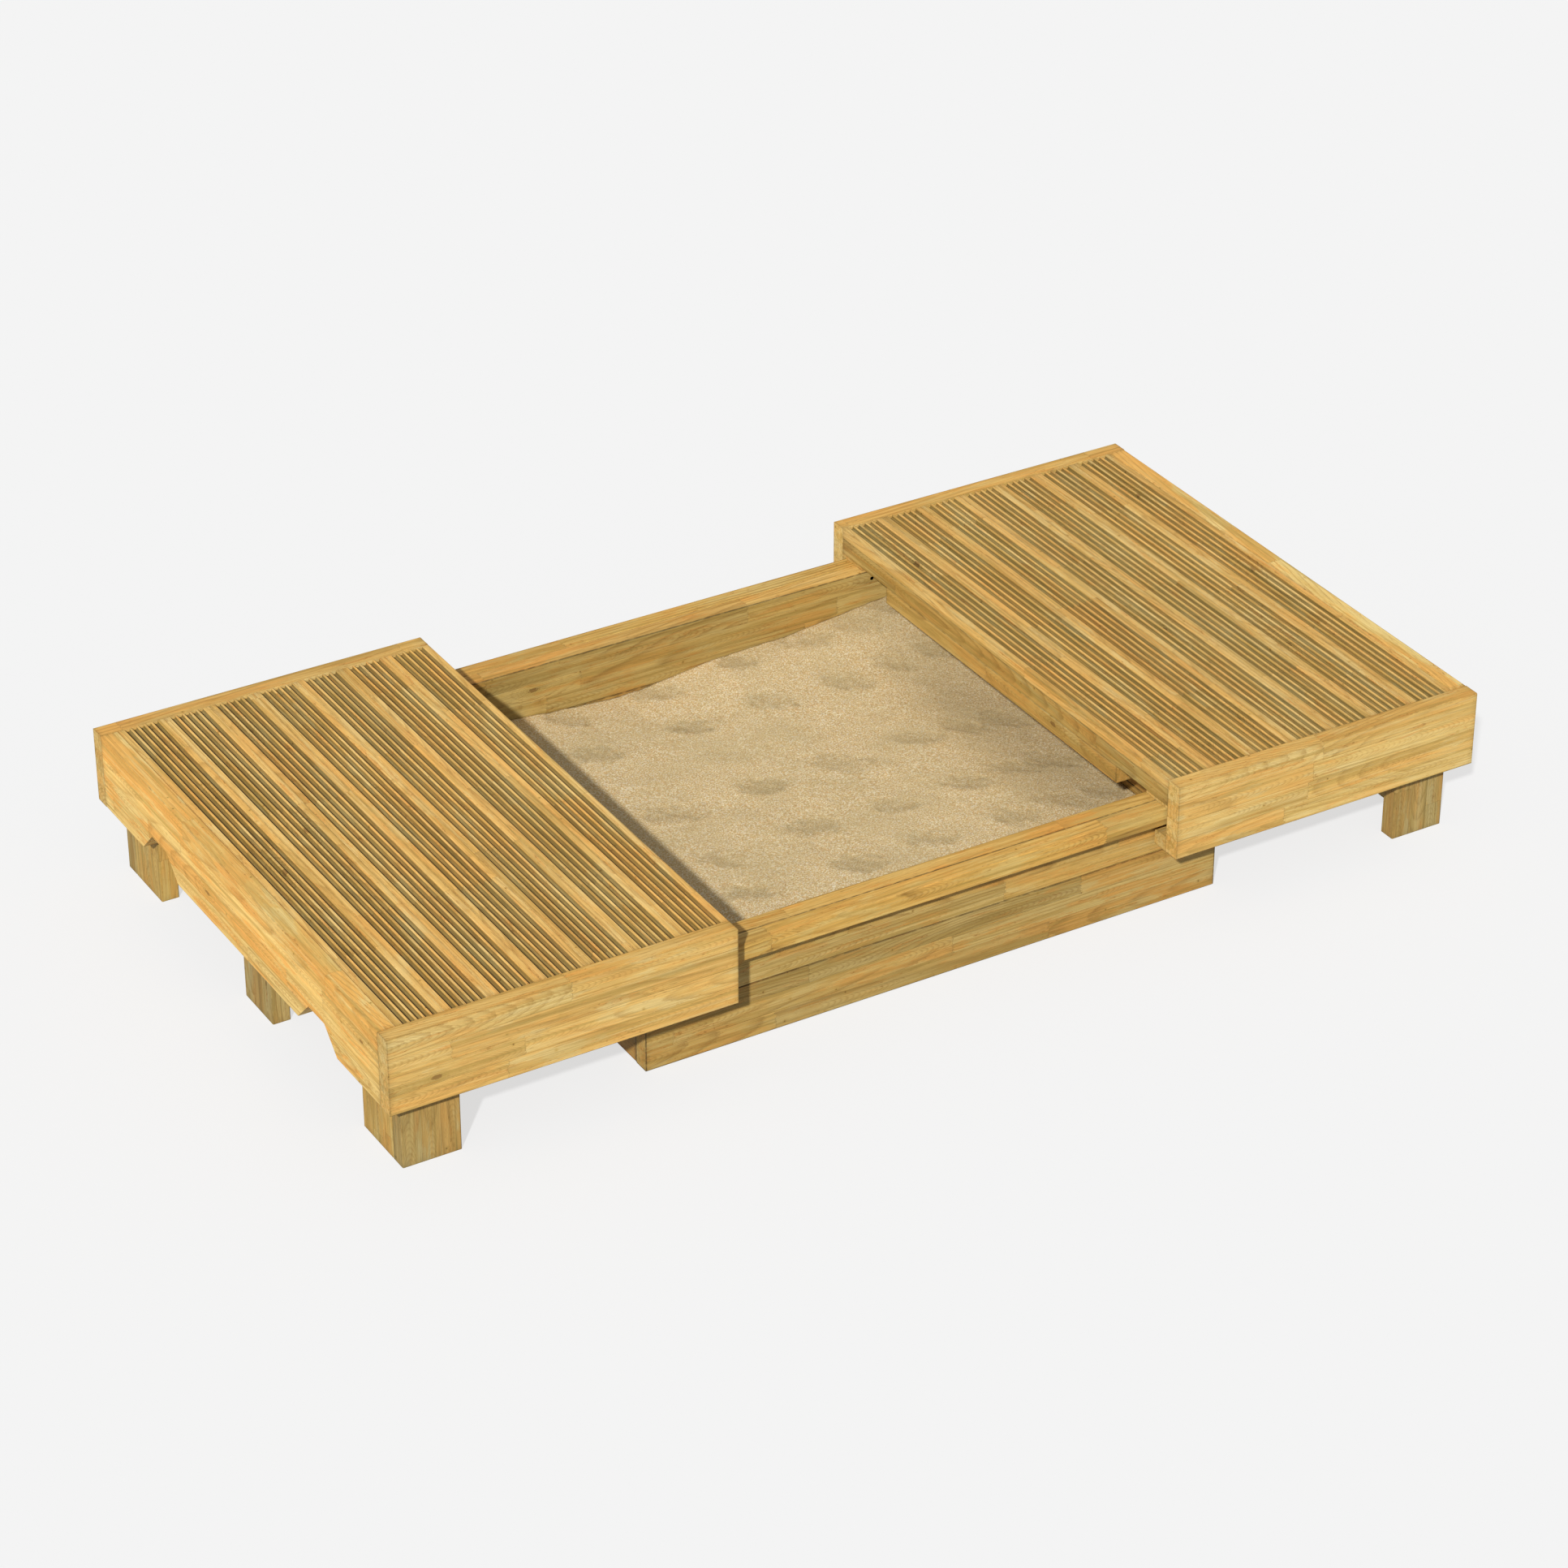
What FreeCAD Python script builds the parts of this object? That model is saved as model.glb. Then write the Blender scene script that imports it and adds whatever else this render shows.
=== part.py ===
import FreeCAD, Part
import math
import os
import Sketcher

# Sandbox with two sliding covers.  A square timber box stands on the ground and holds the sand.
# Two mirror-image covers, low platforms of grooved deck boards, slide along X on the box's rails
# and on legs of their own, and meet over the middle of the box.
#
# Frame: the origin is on the ground under the middle of the box, +X runs along the slide, +Y to
# the back and +Z up.  Millimetres.  The pose is the open one, with both covers pushed apart.

Vector = FreeCAD.Vector
doc = FreeCAD.newDocument("sandbox_with_cover")

# ---------------------------------------------------------------- driving dimensions
DIMENSIONS = {
    # sawn and planed stock
    "stock": 45,                  # thickness of every plank, rail, joist and cleat
    "board_width": 145,           # wall boards and leg planks
    "side_board_width": 195,      # boards round the covers
    "ledger_width": 90,
    "cleat_height": 40,
    "stock_round": 3,             # planed edges of the thick stock
    # the box
    "box_length": 1548,
    "box_width": 1344,            # over the outer faces of the long walls
    "post_length": 240,
    "sand_level": 150,
    "sand_clearance": 1,
    # grooved deck boards
    "deck_thickness": 28,
    "deck_board_width": 117,
    "deck_round": 1,
    "groove_pitch": 18,
    "groove_top_width": 13.5,
    "groove_floor_width": 11.5,
    "groove_depth": 8.5,
    "groove_floor_round": 2.5,
    "ridge_round": 1.2,
    # the covers
    "cover_width": 1540,
    "cover_length": 864,
    "cover_overlap": 183,         # how far an open cover still lies over the box
    "cross_beam_length": 1028,
    "runner_thickness": 9.5,
    "runner_recess": 3,           # the runners stop short of the cover's inner end
    "runner_play": 0.5,           # clearance between the runners and the rails
    "runner_round": 1,
    # hand grips in the lower edge of the outer end boards
    "grip_offset": 415,           # middle of the board to middle of a grip
    "grip_height": 60,
    "grip_mouth": 200,
    "grip_roof": 80,
    # countersunk wood screws
    "screw_length": 70,
    "screw_diameter": 5,
    "screw_head_diameter": 10,
    "screw_head_height": 3,
    "screw_edge": 9,              # from a deck board's edge to a screw under its flat land
}
GROOVES = 5                       # per deck board
DECK_BOARDS = 7                   # per cover

sheet = doc.addObject("Spreadsheet::Sheet", "sizes")
for row, (alias, value) in enumerate(DIMENSIONS.items(), start=1):
    sheet.set(f"A{row}", alias)
    sheet.set(f"B{row}", str(value))
    sheet.setAlias(f"B{row}", alias)
doc.recompute()

# Formulas name a cell as [alias].  These are the levels and faces that several pieces share.
WALL_TOP = "(2 * [board_width])"
FRAME_BASE = f"({WALL_TOP} + [runner_play] + [runner_thickness])"
DECK_BASE = f"({FRAME_BASE} + [stock])"
COVER_TOP = f"({DECK_BASE} + [deck_thickness])"
SIDE_BASE = f"({COVER_TOP} - [side_board_width])"
INNER_SIDE = "([cover_width] / 2 - [stock])"
INNER_END = "([box_length] / 2 - [cover_overlap])"
OUTER_END = f"({INNER_END} + [cover_length])"
LEG_FACE = f"({OUTER_END} - [stock])"
LEDGER_END = f"({LEG_FACE} - [board_width])"
# The legs' side planks pass the rails' ends as the cover closes, until the legs meet the box.
RAIL_LENGTH = "([box_length] - 2 * ([board_width] - [stock]))"

SIDES = {"left": -1, "right": 1}
ENDS = {"front": -1, "back": 1}

# The origin plane square to each long direction, and the two directions of its section.
SECTIONS = {"X": ("YZ_Plane", "YZ"), "Y": ("XZ_Plane", "XZ"), "Z": ("XY_Plane", "XY")}
DIRECTIONS = {"X": Vector(1, 0, 0), "Y": Vector(0, 1, 0), "Z": Vector(0, 0, 1)}

nodes = {}


def size(alias):
    """The value of one cell as a plain number."""
    return float(sheet.get(alias))


def bind(thing, prop, formula):
    """Bind a property to a formula of the sheet's cells."""
    thing.setExpression(prop, formula.replace("[", "<<sizes>>.").replace("]", ""))


# ---------------------------------------------------------------- sketches and planks
def origin_feature(body, role):
    return next(item for item in body.Origin.OriginFeatures if item.Role == role)


def sketch_on(body, plane_role, name):
    """A sketch flat on one of the body's own origin planes."""
    sketch = body.newObject("Sketcher::SketchObject", name)
    sketch.AttachmentSupport = [(origin_feature(body, plane_role), "")]
    sketch.MapMode = "FlatFace"
    return sketch


def outline(sketch, corners):
    """A closed outline with each corner pinned to the sketch's origin.

    A corner is a pair of formulas.  One that starts with a minus lies on the negative side.
    """
    count = len(corners)
    turn = 2 * math.pi / count
    start = [Vector(math.cos(turn * i), math.sin(turn * i), 0) for i in range(count)]
    for i in range(count):
        sketch.addGeometry(Part.LineSegment(start[i], start[(i + 1) % count]), False)
    for i in range(count):
        sketch.addConstraint(Sketcher.Constraint("Coincident", i, 2, (i + 1) % count, 1))
    for i, corner in enumerate(corners):
        for kind, formula in zip(("DistanceX", "DistanceY"), corner):
            below = formula.startswith("-")
            ends = (i, 1, -1, 1) if below else (-1, 1, i, 1)
            index = sketch.addConstraint(Sketcher.Constraint(kind, *ends, 1.0))
            bind(sketch, f"Constraints[{index}]", formula.lstrip("-"))


def edges_along(shape, direction, accept=None):
    """Names of the straight edges along a direction whose middle passes the test."""
    names = []
    for index, edge in enumerate(shape.Edges, start=1):
        if edge.Curve.TypeId != "Part::GeomLine":
            continue
        run = edge.Vertexes[-1].Point - edge.Vertexes[0].Point
        along = abs(run.dot(direction)) > 0.999 * run.Length
        if along and (accept is None or accept(edge.CenterOfMass)):
            names.append(f"Edge{index}")
    return names


def round_edges(body, names, formula):
    """Fillet edges of the body's tip."""
    base = body.Tip
    fillet = body.newObject("PartDesign::Fillet", f"{body.Label}_round")
    fillet.Base = (base, names)
    bind(fillet, "Radius", formula)
    body.Tip = fillet
    doc.recompute()


def place(piece, centre):
    for axis, formula in zip("xyz", centre):
        bind(piece, f"Placement.Base.{axis}", formula)


def cut_through(body, sketch, formula):
    """Pocket a sketch to both sides of its plane, and make sure that it removed something."""
    before = body.Tip.Shape.Volume
    pocket = body.newObject("PartDesign::Pocket", f"{sketch.Label}_cut")
    pocket.Profile = sketch
    pocket.SideType = "Symmetric"
    bind(pocket, "Length", formula)
    body.Tip = pocket
    doc.recompute()
    if pocket.Shape.Volume >= before:
        raise RuntimeError(f"{pocket.Label} removed nothing")
    return pocket


def plank(label, run, extent, centre, rounding="[stock_round]"):
    """A plank with its long edges rounded.  extent and centre are formulas for X, Y and Z."""
    body = doc.addObject("PartDesign::Body", label)
    plane_role, section_axes = SECTIONS[run]
    sizes = dict(zip("XYZ", extent))
    half = [f"({sizes[axis]}) / 2" for axis in section_axes]
    section = sketch_on(body, plane_role, f"{label}_section")
    outline(section, [
        (f"-{half[0]}", f"-{half[1]}"),
        (half[0], f"-{half[1]}"),
        (half[0], half[1]),
        (f"-{half[0]}", half[1]),
    ])
    pad = body.newObject("PartDesign::Pad", f"{label}_pad")
    pad.Profile = section
    pad.SideType = "Symmetric"
    bind(pad, "Length", sizes[run])
    body.Tip = pad
    doc.recompute()
    if rounding:
        round_edges(body, edges_along(pad.Shape, DIRECTIONS[run]), rounding)
    place(body, centre)
    nodes[label] = body
    return body


def group(label, members):
    """Alike pieces that share one node."""
    compound = doc.addObject("Part::Compound", label)
    compound.Links = [nodes.pop(member) for member in members]
    nodes[label] = compound


# ---------------------------------------------------------------- the box
def make_walls():
    courses = {"lower": "[board_width] / 2", "upper": "1.5 * [board_width]"}
    for course, height in courses.items():
        for end, way in ENDS.items():
            plank(f"{end}_wall_{course}_board", "X",
                  ("[box_length]", "[stock]", "[board_width]"),
                  ("0", f"{way} * ([box_width] - [stock]) / 2", height))
        for side, way in SIDES.items():
            plank(f"{side}_wall_{course}_board", "Y",
                  ("[stock]", "[box_width] - 2 * [stock]", "[board_width]"),
                  (f"{way} * ([box_length] - [stock]) / 2", "0", height))


def make_rails():
    """A rail along each long wall, flush with its top: the covers ride on both."""
    for end, way in ENDS.items():
        plank(f"{end}_rail", "X",
              (RAIL_LENGTH, "[stock]", "[stock]"),
              ("0", f"{way} * ([box_width] + [stock]) / 2", f"{WALL_TOP} - [stock] / 2"))


def make_posts():
    """A short post inside each corner ties the two courses of boards together."""
    members = []
    for side, across in SIDES.items():
        for end, along in ENDS.items():
            label = f"{side}_{end}_post"
            plank(label, "Z",
                  ("[stock]", "[stock]", "[post_length]"),
                  (f"{across} * ([box_length] - 3 * [stock]) / 2",
                   f"{along} * ([box_width] - 3 * [stock]) / 2",
                   "[post_length] / 2"))
            members.append(label)
    group("corner_posts", members)


def make_sand():
    """The sand as a flat block that leaves room for the walls and the posts."""
    body = doc.addObject("PartDesign::Body", "sand")
    plan = sketch_on(body, "XY_Plane", "sand_plan")
    reach = [f"([{box}] / 2 - [stock] - [sand_clearance])" for box in ("box_length", "box_width")]
    step = [f"({edge} - [stock])" for edge in reach]
    quarter = [(reach[0], step[1]), (step[0], step[1]), (step[0], reach[1])]
    corners = []
    for across, along in (("", ""), ("-", ""), ("-", "-"), ("", "-")):
        points = [(across + x, along + y) for x, y in quarter]
        corners += points if across == along else points[::-1]
    outline(plan, corners)
    fill = body.newObject("PartDesign::Pad", "sand_fill")
    fill.Profile = plan
    bind(fill, "Length", "[sand_level]")
    body.Tip = fill
    nodes["sand"] = body


# ---------------------------------------------------------------- one cover
def make_deck_board(label, centre):
    """A board with grooves along it between two flat lands."""
    board = plank(label, "Y",
                  ("[deck_board_width]", f"2 * {INNER_SIDE}", "[deck_thickness]"),
                  centre, rounding=None)
    top = "[deck_thickness] / 2"
    floor = f"({top} - [groove_depth])"
    middle = f"({GROOVES - 1} / 2 * [groove_pitch])"
    sketch = sketch_on(board, "XZ_Plane", f"{label}_groove")
    outline(sketch, [
        (f"-({middle} + [groove_top_width] / 2)", top),
        (f"-({middle} + [groove_floor_width] / 2)", floor),
        (f"-({middle} - [groove_floor_width] / 2)", floor),
        (f"-({middle} - [groove_top_width] / 2)", top),
    ])
    pocket = cut_through(board, sketch, f"2 * {INNER_SIDE}")
    pattern = board.newObject("PartDesign::LinearPattern", f"{label}_grooves")
    pattern.Originals = [pocket]
    pattern.Direction = (origin_feature(board, "X_Axis"), [""])
    pattern.Occurrences = GROOVES
    bind(pattern, "Length", f"{GROOVES - 1} * [groove_pitch]")
    board.Tip = pattern
    doc.recompute()

    half_width = size("deck_board_width") / 2
    top_level = size("deck_thickness") / 2
    floor_level = top_level - size("groove_depth")

    def on_ridge(point):
        return abs(point.z - top_level) < 0.01 and abs(point.x) < half_width - 1

    def on_floor(point):
        return abs(point.z - floor_level) < 0.01 and abs(point.x) < half_width - 1

    def at_corner(point):
        return abs(point.x) > half_width - 0.01

    for accept, radius in ((on_floor, "[groove_floor_round]"), (on_ridge, "[ridge_round]"),
                           (at_corner, "[deck_round]")):
        round_edges(board, edges_along(board.Tip.Shape, DIRECTIONS["Y"], accept), radius)


def make_outer_end_board(side, way):
    """The deep board at the outer end, with two trapezoid hand grips in its lower edge."""
    board = plank(f"{side}_outer_end_board", "Y",
                  ("[stock]", f"2 * {INNER_SIDE}", "[side_board_width]"),
                  (f"{way} * ({OUTER_END} - [stock] / 2)", "0",
                   f"{COVER_TOP} - [side_board_width] / 2"))
    base = "-[side_board_width] / 2"
    roof = "-([side_board_width] / 2 - [grip_height])"
    for end, sign in (("front", "-"), ("back", "")):
        sketch = sketch_on(board, "YZ_Plane", f"{side}_{end}_grip")
        outline(sketch, [
            (f"{sign}([grip_offset] - [grip_mouth] / 2)", base),
            (f"{sign}([grip_offset] - [grip_roof] / 2)", roof),
            (f"{sign}([grip_offset] + [grip_roof] / 2)", roof),
            (f"{sign}([grip_offset] + [grip_mouth] / 2)", base),
        ])
        cut_through(board, sketch, "2 * [stock]")


def make_cover_frame(side, way):
    """Side boards, joists, ledgers, runners and cleats."""
    middle = f"{way} * ({INNER_END} + [cover_length] / 2)"
    for end, along in ENDS.items():
        plank(f"{side}_{end}_side_board", "X",
              ("[cover_length]", "[stock]", "[side_board_width]"),
              (middle, f"{along} * ([cover_width] - [stock]) / 2",
               f"{COVER_TOP} - [side_board_width] / 2"))

    inner_x = f"{way} * ({INNER_END} + [stock] / 2)"
    frame_z = f"{FRAME_BASE} + [stock] / 2"
    plank(f"{side}_inner_joist", "Y",
          ("[stock]", f"2 * {INNER_SIDE}", "[stock]"), (inner_x, "0", frame_z))
    plank(f"{side}_cross_beam", "Y",
          ("[stock]", "[cross_beam_length]", "[stock]"),
          (inner_x, "0", f"{FRAME_BASE} - [stock] / 2"))
    plank(f"{side}_middle_joist", "X",
          (f"{LEG_FACE} - {INNER_END} - 2 * [stock]", "[stock]", "[stock]"),
          (f"{way} * ({LEG_FACE} + {INNER_END}) / 2", "0", frame_z))

    for end, along in ENDS.items():
        ledger_y = f"{along} * ({INNER_SIDE} - [ledger_width] / 2)"
        plank(f"{side}_{end}_ledger", "X",
              (f"{LEDGER_END} - {INNER_END} - [stock]", "[ledger_width]", "[stock]"),
              (f"{way} * ({LEDGER_END} + {INNER_END} + [stock]) / 2", ledger_y, frame_z))
        plank(f"{side}_{end}_runner", "X",
              (f"{LEDGER_END} - {INNER_END} - [runner_recess]", "[ledger_width]",
               "[runner_thickness]"),
              (f"{way} * ({LEDGER_END} + {INNER_END} + [runner_recess]) / 2", ledger_y,
               f"{FRAME_BASE} - [runner_thickness] / 2"),
              rounding="[runner_round]")
        plank(f"{side}_{end}_cleat", "X",
              (f"{LEDGER_END} - {INNER_END}", "[stock]", "[cleat_height]"),
              (f"{way} * ({LEDGER_END} + {INNER_END}) / 2",
               f"{along} * ({INNER_SIDE} - [stock] / 2)",
               f"{SIDE_BASE} + [cleat_height] / 2"))
    group(f"{side}_runners", [f"{side}_{end}_runner" for end in ENDS])
    group(f"{side}_lift_cleats", [f"{side}_{end}_cleat" for end in ENDS])


def make_legs(side, way):
    """Upright planks behind the outer end board: an L at each corner and one in the middle."""
    centre_z = f"{DECK_BASE} / 2"
    end_x = f"{way} * ({LEG_FACE} - [stock] / 2)"
    for end, along in ENDS.items():
        plank(f"{side}_{end}_leg_side_plank", "Z",
              ("[board_width]", "[stock]", DECK_BASE),
              (f"{way} * ({LEG_FACE} - [board_width] / 2)",
               f"{along} * ({INNER_SIDE} - [stock] / 2)", centre_z))
        plank(f"{side}_{end}_leg_end_plank", "Z",
              ("[stock]", "[board_width]", DECK_BASE),
              (end_x, f"{along} * ({INNER_SIDE} - [stock] - [board_width] / 2)", centre_z))
    plank(f"{side}_middle_leg_plank", "Z",
          ("[stock]", "[board_width]", DECK_BASE), (end_x, "0", centre_z))


def make_cover(side, way):
    make_cover_frame(side, way)
    make_outer_end_board(side, way)
    make_legs(side, way)
    for number in range(1, DECK_BOARDS + 1):
        make_deck_board(
            f"{side}_deck_board_{number}",
            (f"{way} * ({INNER_END} + ({number} - 0.5) * [deck_board_width])", "0",
             f"{DECK_BASE} + [deck_thickness] / 2"))


# ---------------------------------------------------------------- screws
def screw(head, direction):
    """A countersunk screw with its head flush with a surface at the point given."""
    radius = size("screw_diameter") / 2
    head_height = size("screw_head_height")
    cone = Part.makeCone(size("screw_head_diameter") / 2, radius, head_height, head, direction)
    shank = Part.makeCylinder(radius, size("screw_length"), head, direction)
    return cone.fuse(shank)


def add_screws(label, placed):
    feature = doc.addObject("Part::Feature", label)
    feature.Shape = Part.makeCompound([screw(head, direction) for head, direction in placed])
    nodes[label] = feature


def box_screws():
    """Through each post into both walls beside it, and through the long walls into the rails."""
    stock = size("stock")
    width = size("board_width")
    half_length = size("box_length") / 2
    half_width = size("box_width") / 2
    rail_end = half_length - width + stock
    post_x = half_length - 1.5 * stock
    post_y = half_width - 1.5 * stock
    placed = []
    for across in SIDES.values():
        for along in ENDS.values():
            into_end = Vector(across, 0, 0)
            into_side = Vector(0, along, 0)
            # Heights alternate so that the two rows of screws cross without meeting.
            for height in (0.25 * width, 0.75 * width, 1.2 * width, 1.5 * width):
                head = Vector(across * (post_x - stock / 2), along * post_y, height)
                placed.append((head, into_end))
                head = Vector(across * post_x, along * (post_y - stock / 2), height + stock / 4)
                placed.append((head, into_side))
            # these two sit above the sand, near the rail's end
            for inset in (0.5 * stock, 1.25 * stock):
                head = Vector(across * (rail_end - inset), along * (half_width - stock),
                              2 * width - stock / 2)
                placed.append((head, into_side))
    return placed


def cover_screws(way):
    """From the hidden faces: legs and cleats into the boards round them, frame into the deck."""
    stock = size("stock")
    width = size("board_width")
    inner_side = size("cover_width") / 2 - stock
    inner_end = size("box_length") / 2 - size("cover_overlap")
    leg_face = inner_end + size("cover_length") - stock
    ledger_end = leg_face - width
    frame_base = 2 * width + size("runner_play") + size("runner_thickness")
    side_base = frame_base + stock + size("deck_thickness") - size("side_board_width")
    pair = (-width / 4, width / 4)
    leg_heights = (side_base + stock, frame_base)
    cleat_height = side_base + size("cleat_height") / 2
    corner_leg_y = inner_side - stock - width / 2
    placed = []

    # end planks into the outer end board
    for y in (-corner_leg_y, 0, corner_leg_y):
        for offset in pair:
            for height in leg_heights:
                head = Vector(way * (leg_face - stock), y + offset, height)
                placed.append((head, Vector(way, 0, 0)))

    for along in ENDS.values():
        outward = Vector(0, along, 0)
        hidden_face = along * (inner_side - stock)
        # side planks into the side boards
        for inset in (0.5 * stock, 1.5 * stock):
            for height in leg_heights:
                x = way * (leg_face - stock - inset)
                placed.append((Vector(x, hidden_face, height), outward))
        # lift cleats into the side boards
        for share in (0.1, 0.5, 0.9):
            x = way * (inner_end + share * (ledger_end - inner_end))
            placed.append((Vector(x, hidden_face, cleat_height), outward))

    # ledgers and middle joist up into the lands of the deck boards
    ledger_y = inner_side - size("ledger_width") / 2
    edge = size("screw_edge")
    pitch = size("deck_board_width")
    for number in range(DECK_BOARDS):
        for inset in (edge, pitch - edge):
            x = inner_end + number * pitch + inset
            if inner_end + stock < x < ledger_end:
                for y in (-ledger_y, 0, ledger_y):
                    placed.append((Vector(way * x, y, frame_base), Vector(0, 0, 1)))
    return placed


# ---------------------------------------------------------------- build, check and write
make_walls()
make_rails()
make_posts()
make_sand()
add_screws("box_screws", box_screws())
for side, way in SIDES.items():
    make_cover(side, way)
    add_screws(f"{side}_cover_screws", cover_screws(way))
doc.recompute()

for item in doc.Objects:
    if "Invalid" in item.State or "Error" in item.State:
        raise RuntimeError(f"{item.Label} failed: {item.State}")
for label, piece in nodes.items():
    if piece.Shape.isNull() or not piece.Shape.isValid():
        raise RuntimeError(f"{label} has no valid shape")

os.makedirs("parts", exist_ok=True)
for label, piece in nodes.items():
    piece.Shape.exportStep(f"parts/{label}.step")
print(f"{len(nodes)} nodes written")
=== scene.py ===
import math
from collections import namedtuple

import bmesh
import bpy
import numpy as np
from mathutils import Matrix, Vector, noise


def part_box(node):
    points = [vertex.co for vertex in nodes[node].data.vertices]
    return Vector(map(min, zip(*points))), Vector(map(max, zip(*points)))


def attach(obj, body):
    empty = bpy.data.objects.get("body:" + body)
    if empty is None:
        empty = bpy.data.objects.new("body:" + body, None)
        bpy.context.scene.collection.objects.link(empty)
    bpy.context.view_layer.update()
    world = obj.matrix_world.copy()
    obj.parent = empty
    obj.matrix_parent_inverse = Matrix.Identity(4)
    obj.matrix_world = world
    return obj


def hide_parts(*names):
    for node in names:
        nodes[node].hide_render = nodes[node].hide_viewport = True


# Looks for the sandbox with sliding covers.  The row frame: metres, +X along the slide, +Y to the
# back, +Z up, the origin on the ground under the middle of the box.

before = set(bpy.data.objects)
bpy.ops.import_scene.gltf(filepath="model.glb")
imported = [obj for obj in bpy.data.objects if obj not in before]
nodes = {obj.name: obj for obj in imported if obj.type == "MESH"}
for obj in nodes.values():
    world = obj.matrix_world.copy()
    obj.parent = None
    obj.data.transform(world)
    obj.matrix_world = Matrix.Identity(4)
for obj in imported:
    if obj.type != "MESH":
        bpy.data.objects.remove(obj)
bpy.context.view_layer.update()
scene = bpy.context.scene
scene.view_settings.view_transform = "Standard"


# ---------------------------------------------------------------- shader graphs
class Graph:
    """Builds a shader tree.  A socket, a number or a tuple can go into any input."""

    def __init__(self, name):
        self.material = bpy.data.materials.new(name)
        self.material.use_nodes = True
        self.tree = self.material.node_tree
        self.tree.nodes.clear()

    def node(self, kind, inputs=None, **settings):
        made = self.tree.nodes.new(kind)
        for key, value in settings.items():
            setattr(made, key, value)
        for key, value in (inputs or {}).items():
            self.feed(made.inputs[key], value)
        return made

    def feed(self, socket, value):
        if isinstance(value, bpy.types.NodeSocket):
            self.tree.links.new(value, socket)
        elif socket.type == "RGBA" and len(value) == 3:
            socket.default_value = (*value, 1.0)
        else:
            socket.default_value = value

    def math(self, operation, *values):
        made = self.node("ShaderNodeMath", operation=operation)
        for socket, value in zip(made.inputs, values):
            self.feed(socket, value)
        return made.outputs[0]

    def add(self, a, b):
        return self.math("ADD", a, b)

    def sub(self, a, b):
        return self.math("SUBTRACT", a, b)

    def mul(self, a, b):
        return self.math("MULTIPLY", a, b)

    def div(self, a, b):
        return self.math("DIVIDE", a, b)

    def size(self, a):
        return self.math("ABSOLUTE", a)

    def vector(self, operation, *values):
        made = self.node("ShaderNodeVectorMath", operation=operation)
        for socket, value in zip(made.inputs, values):
            self.feed(socket, value)
        return made.outputs[0]

    def combine(self, x, y, z):
        return self.node("ShaderNodeCombineXYZ", {0: x, 1: y, 2: z}).outputs[0]

    def split(self, vector):
        return self.node("ShaderNodeSeparateXYZ", {0: vector}).outputs

    def by_axis(self, vector):
        return dict(zip("XYZ", self.split(vector)))

    def split_colour(self, colour):
        return self.node("ShaderNodeSeparateColor", {0: colour}).outputs

    def noise(self, vector, scale=1.0, detail=2.0, rough=0.5, distortion=0.0):
        made = self.node("ShaderNodeTexNoise", {
            "Vector": vector, "Scale": scale, "Detail": detail, "Roughness": rough,
            "Distortion": distortion})
        return made.outputs["Fac"]

    def cells(self, vector, scale):
        return self.node("ShaderNodeTexVoronoi", {"Vector": vector, "Scale": scale}).outputs

    def white(self, vector):
        made = self.node("ShaderNodeTexWhiteNoise", {"Vector": vector}, noise_dimensions="3D")
        return made.outputs

    def ramp(self, fac, stops):
        made = self.node("ShaderNodeValToRGB", {"Fac": fac})
        elements = made.color_ramp.elements
        while len(elements) < len(stops):
            elements.new(0.5)
        for element, (place, colour) in zip(elements, stops):
            element.position = place
            grey = not hasattr(colour, "__len__")
            element.color = (colour, colour, colour, 1) if grey else (*colour, 1)
        return made.outputs[0]

    def span(self, value, low, high, to_low=0.0, to_high=1.0, smooth=True):
        """Goes from to_low at low to to_high at high, and stays level outside."""
        made = self.node("ShaderNodeMapRange", {
            "Value": value, "From Min": low, "From Max": high, "To Min": to_low,
            "To Max": to_high}, interpolation_type="SMOOTHSTEP" if smooth else "LINEAR")
        return made.outputs[0]

    def mix(self, fac, a, b, blend="MIX"):
        made = self.node("ShaderNodeMix", data_type="RGBA", blend_type=blend)
        self.feed(made.inputs[0], fac)
        self.feed(made.inputs[6], a)
        self.feed(made.inputs[7], b)
        return made.outputs[2]

    def row_frame(self):
        """The place in the row frame, in metres."""
        return self.node("ShaderNodeTexCoord").outputs["Object"]

    def attribute(self, name, kind="OBJECT"):
        return self.node("ShaderNodeAttribute", attribute_name=name, attribute_type=kind).outputs

    def vector_property(self, name):
        return self.attribute(name)["Vector"]

    def finish(self, colour, roughness, height, depth, specular, metallic=0.0):
        bump = self.node("ShaderNodeBump", {"Height": height, "Strength": 1.0,
                                            "Distance": depth})
        shader = self.node("ShaderNodeBsdfPrincipled", {
            "Base Color": colour, "Roughness": roughness, "Normal": bump.outputs[0],
            "Metallic": metallic, "Specular IOR Level": specular})
        output = self.node("ShaderNodeOutputMaterial")
        self.tree.links.new(shader.outputs[0], output.inputs[0])
        return self.material


# ---------------------------------------------------------------- pressure treated pine
STRAW = (0.700, 0.530, 0.205)
YELLOW = (0.690, 0.450, 0.130)
HONEY = (0.710, 0.375, 0.088)
GREENISH = (0.580, 0.450, 0.155)
OLIVE = (0.430, 0.285, 0.068)
LATEWOOD = (0.330, 0.180, 0.038)
RESIN = (0.620, 0.290, 0.060)
SMUDGE = (0.500, 0.320, 0.070)
KNOT = (0.230, 0.115, 0.028)
# painted shadow that a ridge casts on the groove floor beside it
RIDGE_SHADOW = (0.050, 0.032, 0.012)
# painted shade deep in the deck's grooves
GROOVE_SHADE = (0.35, 0.385, 0.39)

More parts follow.
